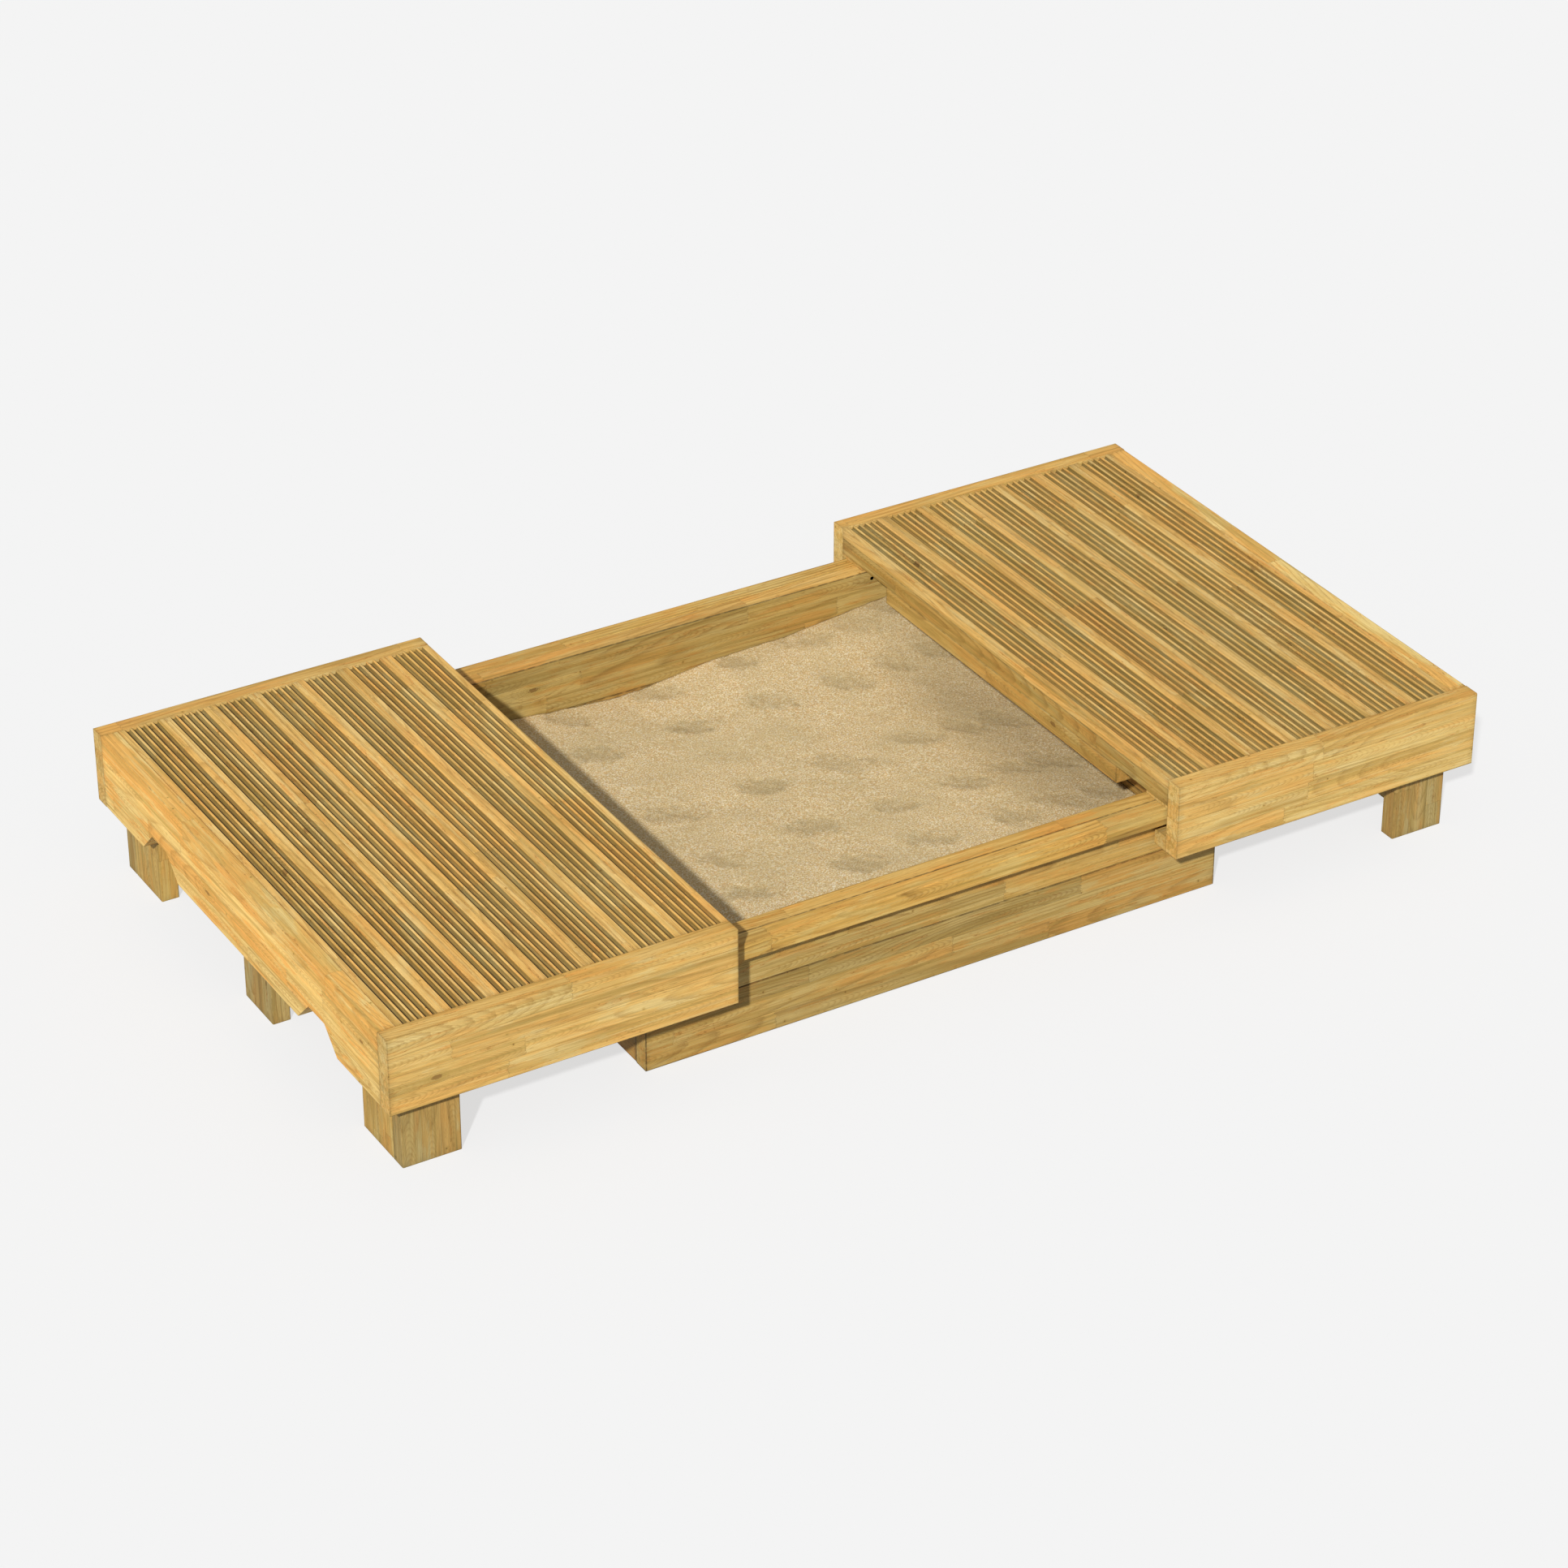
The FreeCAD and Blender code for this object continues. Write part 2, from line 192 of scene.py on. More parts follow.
# sizes in metres, where the line doesn't say otherwise
FRAYS = 150.0                 # of the ends of the blocks, to a metre
FRAY = 0.035                  # how far they go, as a share of a block
KNOT_ZONE = (0.70, 0.35)      # the share of a block's length and width in which its knot lies
KNOT_LENGTHENING = 0.20       # less than 1 draws a knot out along the grain
KNOT_BULGE = -2200.0          # how fast the rings' swelling dies away from a knot
RING_SPACING = (0.0070, 0.0150)
HEART_DEPTH = (0.012, 0.070)  # of the tree's heart behind the board
HEART_ASIDE = 1.4             # as a share of a stave, from side to side
HEART_TILT = 0.17             # slope of the heart against the board, either way
RING_BEND = 0.026             # how far slow noise pushes the rings aside
RING_RIPPLE = 0.0034          # and quick noise
ARCH_PITCH = 0.0048
ARCH_RISE = 0.30              # of the arches' level, for each metre along the grain
ARCH_CURVE = 42.0             # and for each square metre from the crown line
ARCH_BEND = 0.030
ARCH_REACH = (0.010, 0.021)   # from the crown line, where the arches start and stop to fade
KNOT_RADIUS = (0.0025, 0.0070)
SEAM_WIDTH = (0.0010, 0.0036)  # where a seam's shadow starts and stops to fade
ARRIS_WIDTH = (0.0012, 0.0060)
GLUE_WIDTH = (0.0002, 0.0011)
DARK_END = 0.020              # of the side faces, next to the end grain
FACE_MARGIN = 0.003           # keeps the outer faces inside the outer staves
LOG_SPREAD = (9.0, 5.0, 7.0)  # how far apart in the wood the blocks are cut from
PIN_KNOTS = 22.0              # to a metre
RELIEF = 0.00035              # of the fibres
GROOVE_PITCH = 0.018
RIBBED_HALF = 0.0435          # half the width that the grooves take up on a board
GROOVE_SIDE = (0.0008, 0.0050)  # depths in a groove over which the painted shade begins
# depths of a groove's floor, and the width of the painted ridge shadow on it
GROOVE_FLOOR = (0.0050, 0.0075)
RIDGE_SHADOW_WIDTH = (0.0006, 0.0022)
COVER_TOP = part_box("left_deck_board_4")[1].z

KNOT_FREE = 0.76              # share of the blocks without a knot
FACING = (0.6, 0.9)           # part of the normal along an axis, for a face across that axis
UPWARD = (0.55, 0.90)         # the same for a face that looks up
FIBRE_TONES = (0.83, 1.19)    # darkest and lightest
LINE_TONES = (0.85, 1.17)
BLOCK_TONES = 0.24            # between the darkest and the lightest block
GLUE_SHADE = 0.10
ARRIS_SHADE = 0.12
END_SHADE = 0.12


class Pine(Graph):
    """Pine with its grain along one axis and its staves stacked along another.

    The piece's own properties say where it starts, how it is cut into staves and how it looks.
    In the class u goes along the grain, v across the staves and w through the board.
    """

    def __init__(self, name, run, width):
        super().__init__(name)
        self.run = run
        self.width = width
        self.thickness = ({"X", "Y", "Z"} - {run, width}).pop()
        self.place = self.row_frame()
        from_start = self.vector("SUBTRACT", self.place, self.vector_property("wood_start"))
        self.axes = self.by_axis(from_start)
        self.reach = self.by_axis(self.vector_property("wood_size"))
        self.normal = self.by_axis(self.node("ShaderNodeNewGeometry").outputs["Normal"])
        self.vary, self.figure, _ = self.split(self.vector_property("wood_grain"))
        self.u = self.axes[run]
        self.v = self.axes[width]
        self.w = self.axes[self.thickness]

    def face_across(self, axis):
        """1 on the faces that an axis goes straight through."""
        return self.span(self.size(self.normal[axis]), *FACING)

    def grain(self, along, across, detail=2, rough=0.5, distortion=0.0, whole=False):
        """Noise with so many features to a metre along and across the grain."""
        where = self.whole if whole else self.own
        drawn_out = self.vector("MULTIPLY", where, (along, across, across))
        return self.noise(drawn_out, detail=detail, rough=rough, distortion=distortion)

    def paint(self, colour, amount):
        self.colour = self.mix(amount, self.colour, colour)

    def darken(self, amount):
        self.tone = self.mul(self.tone, self.sub(1.0, amount))

    def cut_into_blocks(self):
        """The block that a point lies in, four random numbers for it, and places inside it."""
        self.stave, self.length, seed = self.split(self.vector_property("wood_cut"))
        far_side = self.sub(self.reach[self.width], FACE_MARGIN)
        v_inside = self.math("MINIMUM", self.math("MAXIMUM", self.v, FACE_MARGIN), far_side)
        row = self.math("FLOOR", self.div(v_inside, self.stave))
        shift = self.white(self.combine(row, seed, 3.7))[0]
        fray = self.noise(self.place, FRAYS, detail=3, rough=0.6)
        block = self.add(self.div(self.u, self.length), shift)
        block = self.add(block, self.mul(self.sub(fray, 0.5), FRAY))
        column = self.math("FLOOR", block)
        corner = self.combine(self.add(row, self.mul(seed, 1.7)), column, seed)
        self.chance, tint = self.white(corner)
        self.chance_1, self.chance_2, self.chance_3 = self.split_colour(tint)
        self.block_u = self.from_middle(block, self.length)
        self.block_v = self.from_middle(self.div(v_inside, self.stave), self.stave)
        shift_in_log = self.vector(
            "MULTIPLY", self.combine(self.chance, self.chance_1, self.chance_2), LOG_SPREAD)
        self.own = self.vector("ADD", self.combine(self.u, self.v, self.w), shift_in_log)
        self.whole = self.combine(self.add(self.u, seed), self.v, self.w)

    def from_middle(self, count, pitch):
        """The distance from the middle of the repeat that a count of repeats is in."""
        return self.mul(self.sub(self.math("FRACT", count), 0.5), pitch)

    def grow_knots(self):
        """A knot in some of the blocks: its core, a halo and the swelling of the rings."""
        zone_u, zone_v = KNOT_ZONE
        knot_u = self.mul(self.sub(self.chance_1, 0.5), self.mul(self.length, zone_u))
        knot_v = self.mul(self.sub(self.chance_2, 0.5), self.mul(self.stave, zone_v))
        self.ragged = self.grain(60, 110)
        from_u = self.sub(self.block_u, knot_u)
        from_v = self.add(self.sub(self.block_v, knot_v), self.mul(self.sub(self.ragged, 0.5), 0.006))
        long_way = self.mul(self.mul(from_u, from_u), KNOT_LENGTHENING)
        self.away = self.math("SQRT", self.add(long_way, self.mul(from_v, from_v)))
        here = self.math("GREATER_THAN", self.chance_3, KNOT_FREE)
        radius = self.span(self.chance_3, KNOT_FREE, 1.0, *KNOT_RADIUS, smooth=False)
        bulge = self.math("EXPONENT", self.mul(self.mul(self.away, self.away), KNOT_BULGE))
        self.swell = self.mul(here, bulge)
        self.core = self.mul(here, self.span(self.div(self.away, radius), 0.65, 1.10, 1.0, 0.0))
        self.halo = self.mul(here, self.span(self.div(self.away, radius), 0.9, 3.2, 1.0, 0.0))

    def grow_rings(self):
        """Growth rings round a heart that lies behind the board, pushed aside by the knots."""
        self.heart_v = self.mul(self.sub(self.chance_2, 0.5), self.mul(self.stave, HEART_ASIDE))
        heart_w = self.span(self.chance_1, 0, 1, *HEART_DEPTH, smooth=False)
        tilt = self.span(self.chance_3, 0, 1, -HEART_TILT, HEART_TILT, smooth=False)
        across = self.sub(self.block_v, self.heart_v)
        depth = self.add(self.add(self.w, heart_w), self.mul(tilt, self.block_u))
        radius = self.math("SQRT", self.add(self.mul(across, across), self.mul(depth, depth)))
        self.bend = self.grain(1.9, 7)
        ripple = self.grain(11, 60)
        radius = self.add(radius, self.mul(self.sub(self.bend, 0.5), RING_BEND))
        radius = self.add(radius, self.mul(self.sub(ripple, 0.5), RING_RIPPLE))
        round_knot = self.mul(self.away, 1.3)
        radius = self.add(radius, self.mul(self.swell, self.sub(round_knot, radius)))
        spacing = self.span(self.chance, 0, 1, *RING_SPACING, smooth=False)
        phase = self.math("FRACT", self.div(radius, spacing))
        early_to_late = [(0.0, 0.02), (0.50, 0.10), (0.78, 0.70), (0.88, 1.0), (1.0, 0.02)]
        self.ring = self.ramp(phase, early_to_late)
        self.clear = self.span(self.grain(1.8, 16), 0.38, 0.60)

    def grow_arches(self):
        """Nested arches on the broad faces, where a block is sawn close to its heart."""
        off_crown = self.sub(self.block_v, self.mul(self.heart_v, 0.25))
        curve = self.mul(self.mul(off_crown, off_crown), ARCH_CURVE)
        height = self.add(self.mul(self.u, ARCH_RISE), curve)
        height = self.add(height, self.mul(self.sub(self.bend, 0.5), ARCH_BEND))
        phase = self.math("FRACT", self.div(height, ARCH_PITCH))
        arch = self.ramp(phase, [(0.0, 0.0), (0.45, 0.05), (0.75, 1.0), (0.90, 0.8), (1.0, 0.0)])
        arch = self.mul(arch, self.face_across(self.thickness))
        arch = self.mul(arch, self.span(self.grain(2.6, 12), 0.46, 0.56))
        self.arch = self.mul(arch, self.span(self.size(off_crown), *ARCH_REACH, 1.0, 0.0))

    def colour_wood(self):
        """The block's own colour, then broad patches, rings, streaks and stains."""
        self.patch = self.grain(4.5, 24, detail=5, rough=0.62, whole=True)
        smudge = self.grain(5.5, 36, detail=5, rough=0.68, whole=True)
        band = self.grain(1.3, 42)
        streak = self.grain(1.9, 105, detail=4, rough=0.6)
        self.stain = self.grain(7.0, 75, detail=4, rough=0.65, distortion=0.5)
        self.colour = self.ramp(self.chance, [
            (0.0, GREENISH), (0.15, STRAW), (0.42, YELLOW), (0.66, HONEY), (0.82, YELLOW),
            (1.0, STRAW)])
        self.paint(YELLOW, self.sub(1.0, self.vary))
        honey = self.add(0.18, self.mul(self.vary, 0.74))
        self.paint(HONEY, self.mul(self.span(self.patch, 0.51, 0.59), honey))
        self.paint(STRAW, self.span(self.patch, 0.39, 0.47, 0.80, 0.0))
        self.paint(SMUDGE, self.span(smudge, 0.56, 0.68, 0.0, 0.55))
        self.paint(OLIVE, self.span(band, 0.50, 0.68, 0.0, 0.60))
        clearness = self.mul(self.figure, self.span(self.clear, 0, 1, 0.22, 1.0))
        self.paint(LATEWOOD, self.mul(self.ring, clearness))
        self.paint(LATEWOOD, self.mul(self.arch, self.mul(self.figure, 0.62)))
        self.paint(OLIVE, self.span(streak, 0.52, 0.66, 0.0, 0.65))
        self.paint(STRAW, self.span(streak, 0.34, 0.47, 0.45, 0.0))
        self.paint(RESIN, self.span(self.stain, 0.56, 0.70, 0.0, 0.60))

    def colour_marks(self):
        """Knots, thin dark lines, flecks, specks in the stains and pin knots."""
        self.line = self.grain(1.5, 250, detail=3, rough=0.6)
        fleck = self.grain(42, 420, detail=1)
        speck = self.grain(95, 210, detail=3, rough=0.6)
        self.paint(OLIVE, self.mul(self.halo, self.span(self.ring, 0, 1, 0.30, 0.7)))
        self.paint(KNOT, self.mul(self.core, 0.75))
        self.paint(LATEWOOD, self.span(self.line, 0.58, 0.68, 0.0, 0.55))
        self.paint(LATEWOOD, self.mul(self.span(fleck, 0.68, 0.75), 0.60))
        in_stain = self.span(self.stain, 0.54, 0.66, 0.06, 0.75)
        self.paint(LATEWOOD, self.mul(self.span(speck, 0.56, 0.64), in_stain))
        pins = self.cells(self.own, PIN_KNOTS)
        chosen = self.math("GREATER_THAN", self.split(pins["Color"])[0], 0.45)
        self.paint(SMUDGE, self.mul(chosen, self.span(pins["Distance"], 0.05, 0.17, 0.55, 0.0)))
        self.paint(KNOT, self.mul(chosen, self.span(pins["Distance"], 0.03, 0.07, 0.80, 0.0)))

    def shade_fibres(self):
        """Light and dark of the fibres, of the fine lines and from block to block."""
        self.fibre = self.grain(18, 620, detail=3, rough=0.65)
        self.tone = self.span(self.fibre, 0.25, 0.75, *FIBRE_TONES, smooth=False)
        self.tone = self.mul(self.tone, self.span(self.line, 0.28, 0.72, *LINE_TONES, smooth=False))
        block = self.mul(self.sub(self.chance_2, 0.5), self.vary)
        self.tone = self.mul(self.tone, self.add(1.0, self.mul(block, BLOCK_TONES)))

    def shade_edges(self):
        """Glue lines, worn arrises, darker ends, and painted shadow in the seams where the boards
        meet.
        """
        edge_v = self.mul(self.sub(0.5, self.size(self.div(self.block_v, self.stave))), self.stave)
        edge_u = self.mul(self.sub(0.5, self.size(self.div(self.block_u, self.length))), self.length)
        self.glue = self.span(self.math("MINIMUM", edge_v, edge_u), *GLUE_WIDTH, 1.0, 0.0)
        from_side, from_face = (
            self.math("MINIMUM", self.axes[a], self.sub(self.reach[a], self.axes[a]))
            for a in (self.width, self.thickness))
        from_arris = self.math("MAXIMUM", from_side, from_face)
        arris = self.span(from_arris, *ARRIS_WIDTH, 1.0, 0.0)
        from_end = self.math("MINIMUM", self.u, self.sub(self.reach[self.run], self.u))
        self.end_grain = self.face_across(self.run)
        on_sides = self.sub(1.0, self.end_grain)
        uneven = self.add(from_end, self.mul(self.sub(self.patch, 0.5), 0.02))
        near_end = self.mul(self.span(uneven, 0.0, DARK_END, 1.0, 0.0), on_sides)
        along = self.span(from_arris, *SEAM_WIDTH, 1.0, 0.0)
        cut = self.mul(self.span(from_end, *SEAM_WIDTH, 1.0, 0.0), on_sides)
        from_rim = self.math("MINIMUM", from_side, from_face)
        rim = self.mul(self.end_grain, self.span(from_rim, *SEAM_WIDTH, 1.0, 0.0))
        seam = self.math("MAXIMUM", self.math("MAXIMUM", along, cut), rim)
        seam = self.mul(seam, self.span(self.ragged, 0.30, 0.55, 0.55, 1.0))
        self.darken(self.mul(self.glue, GLUE_SHADE))
        worn = self.mul(arris, self.span(self.ragged, 0.35, 0.65, 0.25, 1.0))
        self.darken(self.mul(worn, ARRIS_SHADE))
        self.darken(self.mul(near_end, END_SHADE))
        # painted shadow in the seams, as dark as the piece's look says
        self.darken(self.mul(seam, self.attribute("wood_seam")["Fac"]))
        grey = self.combine(self.tone, self.tone, self.tone)
        self.colour = self.mix(1.0, self.colour, grey, "MULTIPLY")

    def colour_and_shade_faces(self):
        """Faces that look up and the other faces get their own colours from the piece's look, which
        hold painted light and shade as well as the wood's tone.
        """
        upward = self.span(self.normal["Z"], *UPWARD)
        side, top = self.vector_property("wood_side"), self.vector_property("wood_top")
        self.colour = self.mix(1.0, self.colour, self.mix(upward, side, top), "MULTIPLY")

    def shade_grooves(self):
        """Painted shade deeper in the grooves, and a painted shadow on the floor beside each ridge,
        on the side out of the sun.
        """
        below = self.sub(COVER_TOP, self.split(self.place)[2])
        off_middle = self.sub(self.v, self.mul(self.reach["X"], 0.5))
        ribbed = self.span(self.size(off_middle), RIBBED_HALF, RIBBED_HALF + 0.001, 1.0, 0.0)
        # painted shade, deeper down in the grooves
        sunk = self.mul(self.span(below, *GROOVE_SIDE), ribbed)
        sunk = self.mul(sunk, self.span(self.stain, 0.3, 0.7, 1.0, 0.86))
        shaded = self.mix(1.0, self.colour, GROOVE_SHADE, "MULTIPLY")
        self.paint(shaded, sunk)
        # the painted shadow of each ridge on the floor beside it, on the side out of the sun
        lane = self.from_middle(self.add(self.div(off_middle, GROOVE_PITCH), 0.5), GROOVE_PITCH)
        floor = self.mul(self.span(below, *GROOVE_FLOOR), self.span(self.normal["Z"], 0.20, 0.60))
        darkening = self.mul(floor, self.span(lane, *RIDGE_SHADOW_WIDTH, 1.0, 0.0))
        self.paint(RIDGE_SHADOW, self.mul(darkening, 0.80))

    def finish_wood(self):
        """Latewood, end grain and knots are rougher, and fibres and knots stand out."""
        rough = self.add(self.mul(self.ring, 0.4), self.fibre)
        rough = self.span(rough, 0.2, 1.1, 0.50, 0.74, smooth=False)
        rough = self.add(rough, self.mul(self.add(self.end_grain, self.core), 0.08))
        height = self.mul(self.ring, self.span(self.clear, 0, 1, 0.25, 0.7))
        height = self.add(height, self.mul(self.fibre, 0.9))
        height = self.sub(height, self.mul(self.glue, 0.9))
        height = self.add(height, self.mul(self.core, 0.8))
        return self.finish(self.colour, rough, height, depth=RELIEF, specular=0.28)


def pine_material(name, run, width, grooved):
    pine = Pine(name, run, width)
    pine.cut_into_blocks()
    pine.grow_knots()
    pine.grow_rings()
    pine.grow_arches()
    pine.colour_wood()
    pine.colour_marks()
    pine.shade_fibres()
    pine.shade_edges()
    pine.colour_and_shade_faces()
    if grooved:
        pine.shade_grooves()
    return pine.finish_wood()


# ---------------------------------------------------------------- the pieces of wood
STAVE = 0.0484                # three to a wall board, four to a board of the covers
BLOCK = 0.74                  # length of the pieces that are finger-jointed into a stave
DECK_BLOCK = 0.50
FRAME_BLOCK = 0.90            # of rails, joists and beams
LEG_BLOCK = 0.30
LEG_STAVES = 3
SEEDS = 100                   # the seeds lie between 0 and this
GOLDEN = 0.61803398875        # spreads them evenly

# Colours are against new pine, on a piece's sides and on its upper faces, and hold painted light and
# shade as well as the wood's tone:
# the walls, legs, joists and beams are darker for painted occlusion, the left and right walls darker
# for painted shade under the covers, and the outer ends' sides lighter for a painted fill light. Seam
# is how dark the painted shadow in the seams round it is, vary how much its staves differ, figure how
# plainly its rings show.
Look = namedtuple("Look", "side top seam vary figure")


def even_look(colour, seam, vary, figure):
    """The same colour on the sides and on the upper faces."""
    return Look(colour, colour, seam, vary, figure)


INNER_TOP = (0.909, 0.787, 0.651)
FRONT_TOP = (0.912, 0.777, 0.595)
# A piece gets the first look whose key is a part of its name.
LOOKS = {
    # painted occlusion and shade in the walls, legs, joists and beams below, and a painted fill light
    # on the outer ends' sides
    "back_wall": Look((0.582, 0.573, 0.530), INNER_TOP, 0.66, 0.70, 0.60),
    "left_wall": Look((0.560, 0.530, 0.500), INNER_TOP, 0.66, 0.70, 0.60),
    "right_wall": Look((0.560, 0.530, 0.500), INNER_TOP, 0.66, 0.70, 0.60),
    "front_wall_upper": Look((0.734, 0.698, 0.634), FRONT_TOP, 0.66, 0.75, 0.60),
    "wall": Look((0.632, 0.597, 0.536), FRONT_TOP, 0.66, 0.75, 0.60),
    "leg_end": even_look((0.765, 0.739, 0.650), 0.20, 0.60, 0.45),
    "leg": even_look((0.597, 0.615, 0.651), 0.20, 0.60, 0.45),
    "rail": Look((0.789, 0.745, 0.624), (0.853, 0.790, 0.670), 0.08, 0.60, 0.95),
    "right_deck": even_look((0.968, 0.900, 0.870), 0.15, 0.32, 0.50),
    "left_deck": even_look((1.058, 0.972, 0.927), 0.15, 0.32, 0.50),
    "side_board": Look((0.933, 0.922, 0.945), (0.930, 0.827, 0.713), 0.24, 0.45, 0.50),
    "outer_end": Look((1.183, 1.090, 0.967), (1.018, 1.019, 1.018), 0.26, 0.98, 0.50),
    "joist": even_look((0.656, 0.640, 0.576), 0.30, 0.60, 0.60),
    "beam": even_look((0.683, 0.655, 0.592), 0.30, 0.55, 0.70),
}
PLAIN = even_look((0.85, 0.82, 0.80), 0.20, 0.55, 0.70)


def cut_of(name, extent):
    """How a piece is cut: its run, the axis across its staves, stave width and block length."""
    longest, second, _ = sorted("XYZ", key=lambda axis: -extent["XYZ".index(axis)])
    breadth = extent["XYZ".index(second)]
    if "deck_board" in name:
        return "Y", "X", extent.x, DECK_BLOCK
    if name == "corner_posts":
        return "Z", "X", STAVE, BLOCK
    if name.endswith(("runners", "lift_cleats")):
        return "X", "Z", extent.z, BLOCK
    if name.endswith(("rail", "joist", "beam")):
        return longest, "Z", extent.z, FRAME_BLOCK
    if "leg" in name:
        return "Z", second, breadth / LEG_STAVES, LEG_BLOCK
    if "ledger" in name:
        return "X", "Y", extent.y, BLOCK
    return longest, second, breadth / round(breadth / STAVE), BLOCK


def dress_wood():
    """Gives each board its material and its own place in the wood."""
    materials = {}
    for number, name in enumerate(sorted(nodes)):
        if name == "sand" or name.endswith("screws"):
            continue
        piece = nodes[name]
        low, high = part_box(name)
        run, width, stave, length = cut_of(name, high - low)
        grooved = "deck_board" in name
        key = f"pine_{run}{width}{'_grooved' if grooved else ''}".lower()
        if key not in materials:
            materials[key] = pine_material(key, run, width, grooved)
        look = next((look for part, look in LOOKS.items() if part in name), PLAIN)
        piece["wood_start"] = list(low)
        piece["wood_size"] = list(high - low)
        piece["wood_cut"] = [stave, length, SEEDS * (number * GOLDEN % 1)]
        piece["wood_side"] = look.side
        piece["wood_top"] = look.top
        piece["wood_seam"] = look.seam
        piece["wood_grain"] = [look.vary, look.figure, 0.0]
        piece.material_slots[0].material = materials[key]


dress_wood()


# ---------------------------------------------------------------- zinc plated screws
ZINC = (0.62, 0.61, 0.56)
ZINC_CLOUD = (0.40, 0.39, 0.36)
SPANGLES = 900.0              # to a metre


def zinc_material():
    g = Graph("zinc_plate")
    place = g.row_frame()
    cloud = g.noise(place, 240.0, detail=3)
    colour = g.mix(g.span(cloud, 0.4, 0.7, 0.0, 0.6), ZINC, ZINC_CLOUD)
    colour = g.mix(0.12, colour, g.cells(place, SPANGLES)["Color"], "OVERLAY")
    roughness = g.span(cloud, 0.3, 0.7, 0.28, 0.50)
    return g.finish(colour, roughness, cloud, depth=0.00005, specular=0.5, metallic=1.0)


def dress_screws():
    zinc = zinc_material()
    for name, piece in nodes.items():
        if name.endswith("screws"):
            piece.material_slots[0].material = zinc


dress_screws()


# ---------------------------------------------------------------- the sand's shape
SAND_STEP = 0.005             # between the points of its surface
SAND_LEVEL = 0.148
POST_WIDTH = 0.045            # the sand goes round the corner posts
# height of the sand along the back wall, and how far from the wall it is levelled out
BANK_X = (-0.73, -0.42, -0.24, -0.12, 0.00, 0.15, 0.36, 0.54, 0.73)
BANK_Z = (0.166, 0.160, 0.144, 0.138, 0.148, 0.166, 0.172, 0.192, 0.214)
BANK_REACH = 0.24
RIGHT_FALL = 0.022            # how much lower the sand is at the right, away from the back wall
RIGHT_SHADE = 0.33             # and how much painted shade it has there, next to the right cover
# a wave's length in metres, and a number that tells the waves apart
BROAD_WAVE = (0.42, 1)
MIDDLE_WAVE = (0.085, 2)
FINE_WAVE = (0.016, 3)
RAGGED_WAVE = (0.024, 4)
BROAD_HEIGHT = 0.0050
MIDDLE_HEIGHT = 0.0011
FINE_HEIGHT = 0.0006
# hollows that hands and feet have left, in loose rows
HOLLOW_X = (-0.54, -0.296, -0.030, 0.188, 0.396, 0.542, 0.660)
HOLLOW_Y = (0.575, 0.390, 0.232, 0.060, -0.172, -0.353, -0.510)
FAINT_ROW = 2                 # only faint hollows here
HOLLOW_JITTER = 0.008
HOLLOW_TURN = math.radians(-31)
HOLLOW_DEPTH = 0.0026
HALF_LENGTH = 0.080           # of a hollow, with the half width below
HALF_WIDTH = 0.043
HOLLOW_SEED = 41
RIM_RISE = 0.15               # as shares of a hollow's depth
CURL_DENT = 0.25
CREST_DENT = 0.20
TOE_DENT = 0.30
BOTTOM_DAMP = 0.50            # as shares of soaked sand
CURL_DAMP = 0.20
CREST_DAMP = 0.16
TOE_DAMP = 0.50

Hollow = namedtuple("Hollow", "x y size depth turn")


def smooth(low, high, x):
    """From 0 at low to 1 at high."""
    t = np.clip((x - low) / (high - low), 0, 1)
    return t * t * (3 - 2 * t)


def bell(offset, width):
    """1 in the middle, falling to nothing at a few widths away."""
    return np.exp(-((offset / width) ** 2))


def waves(xs, ys, length, layer, octaves=3):
    """Smooth seeded noise on a grid."""
    return np.array([[
        noise.fractal(Vector((x / length, y / length, layer * 17.3)), 0.9, 2.1, octaves)
        for y in ys] for x in xs])


def scatter_hollows():
    random = np.random.default_rng(HOLLOW_SEED)
    found = []
    for row, y in enumerate(HOLLOW_Y):
        for x in HOLLOW_X:
            jitter_x, jitter_y = random.normal(0, HOLLOW_JITTER, 2)
            size = random.uniform(0.82, 1.15)
            depth = HOLLOW_DEPTH * random.uniform(0.75, 1.15)
            depth *= 1 - 0.25 * smooth(0.36, 0.60, x)
            if row == FAINT_ROW:
                depth *= 0.25
            turn = HOLLOW_TURN + random.normal(0, 0.10)
            found.append(Hollow(x + jitter_x, y + jitter_y, size, depth, turn))
    return found


def press_hollow(hollow, grid_x, grid_y, wobble, ragged):
    """The change of height and the dampness that one hollow brings."""
    from_x, from_y = grid_x - hollow.x, grid_y - hollow.y
    cosine, sine = math.cos(hollow.turn), math.sin(hollow.turn)
    along = (from_x * cosine + from_y * sine) / hollow.size
    over = (-from_x * sine + from_y * cosine) / hollow.size
    reach = np.hypot(along / HALF_LENGTH, over / HALF_WIDTH) + wobble
    bowl = 1 - smooth(0.15, 1.05, reach)
    rim = bell(reach - 1.08, 0.22)
    # finer dents in the bowl: a curl at the heel, a wavy line down one side and the toe
    curl = np.hypot((along + 0.026) / 0.028, over / 0.032) + wobble
    curl = bell(curl - 1.0, 0.17) * smooth(0.0, 0.020, 0.4 * over - along - 0.018)
    crest = bell(over - 0.027 - 0.006 * np.sin(along * 110), 0.0055)
    crest *= smooth(0.055, 0.035, np.abs(along))
    toe = bell(np.hypot((along - 0.046) / 0.0070, (over + 0.022) / 0.0065), 1.0)
    rise = RIM_RISE * rim - bowl - CURL_DENT * curl - CREST_DENT * crest - TOE_DENT * toe
    dark = (BOTTOM_DAMP - 0.16 * ragged) * (1 - smooth(0.25, 1.35, reach))
    dark += CURL_DAMP * curl + CREST_DAMP * crest + TOE_DAMP * toe
    return rise * hollow.depth, dark * hollow.depth / HOLLOW_DEPTH


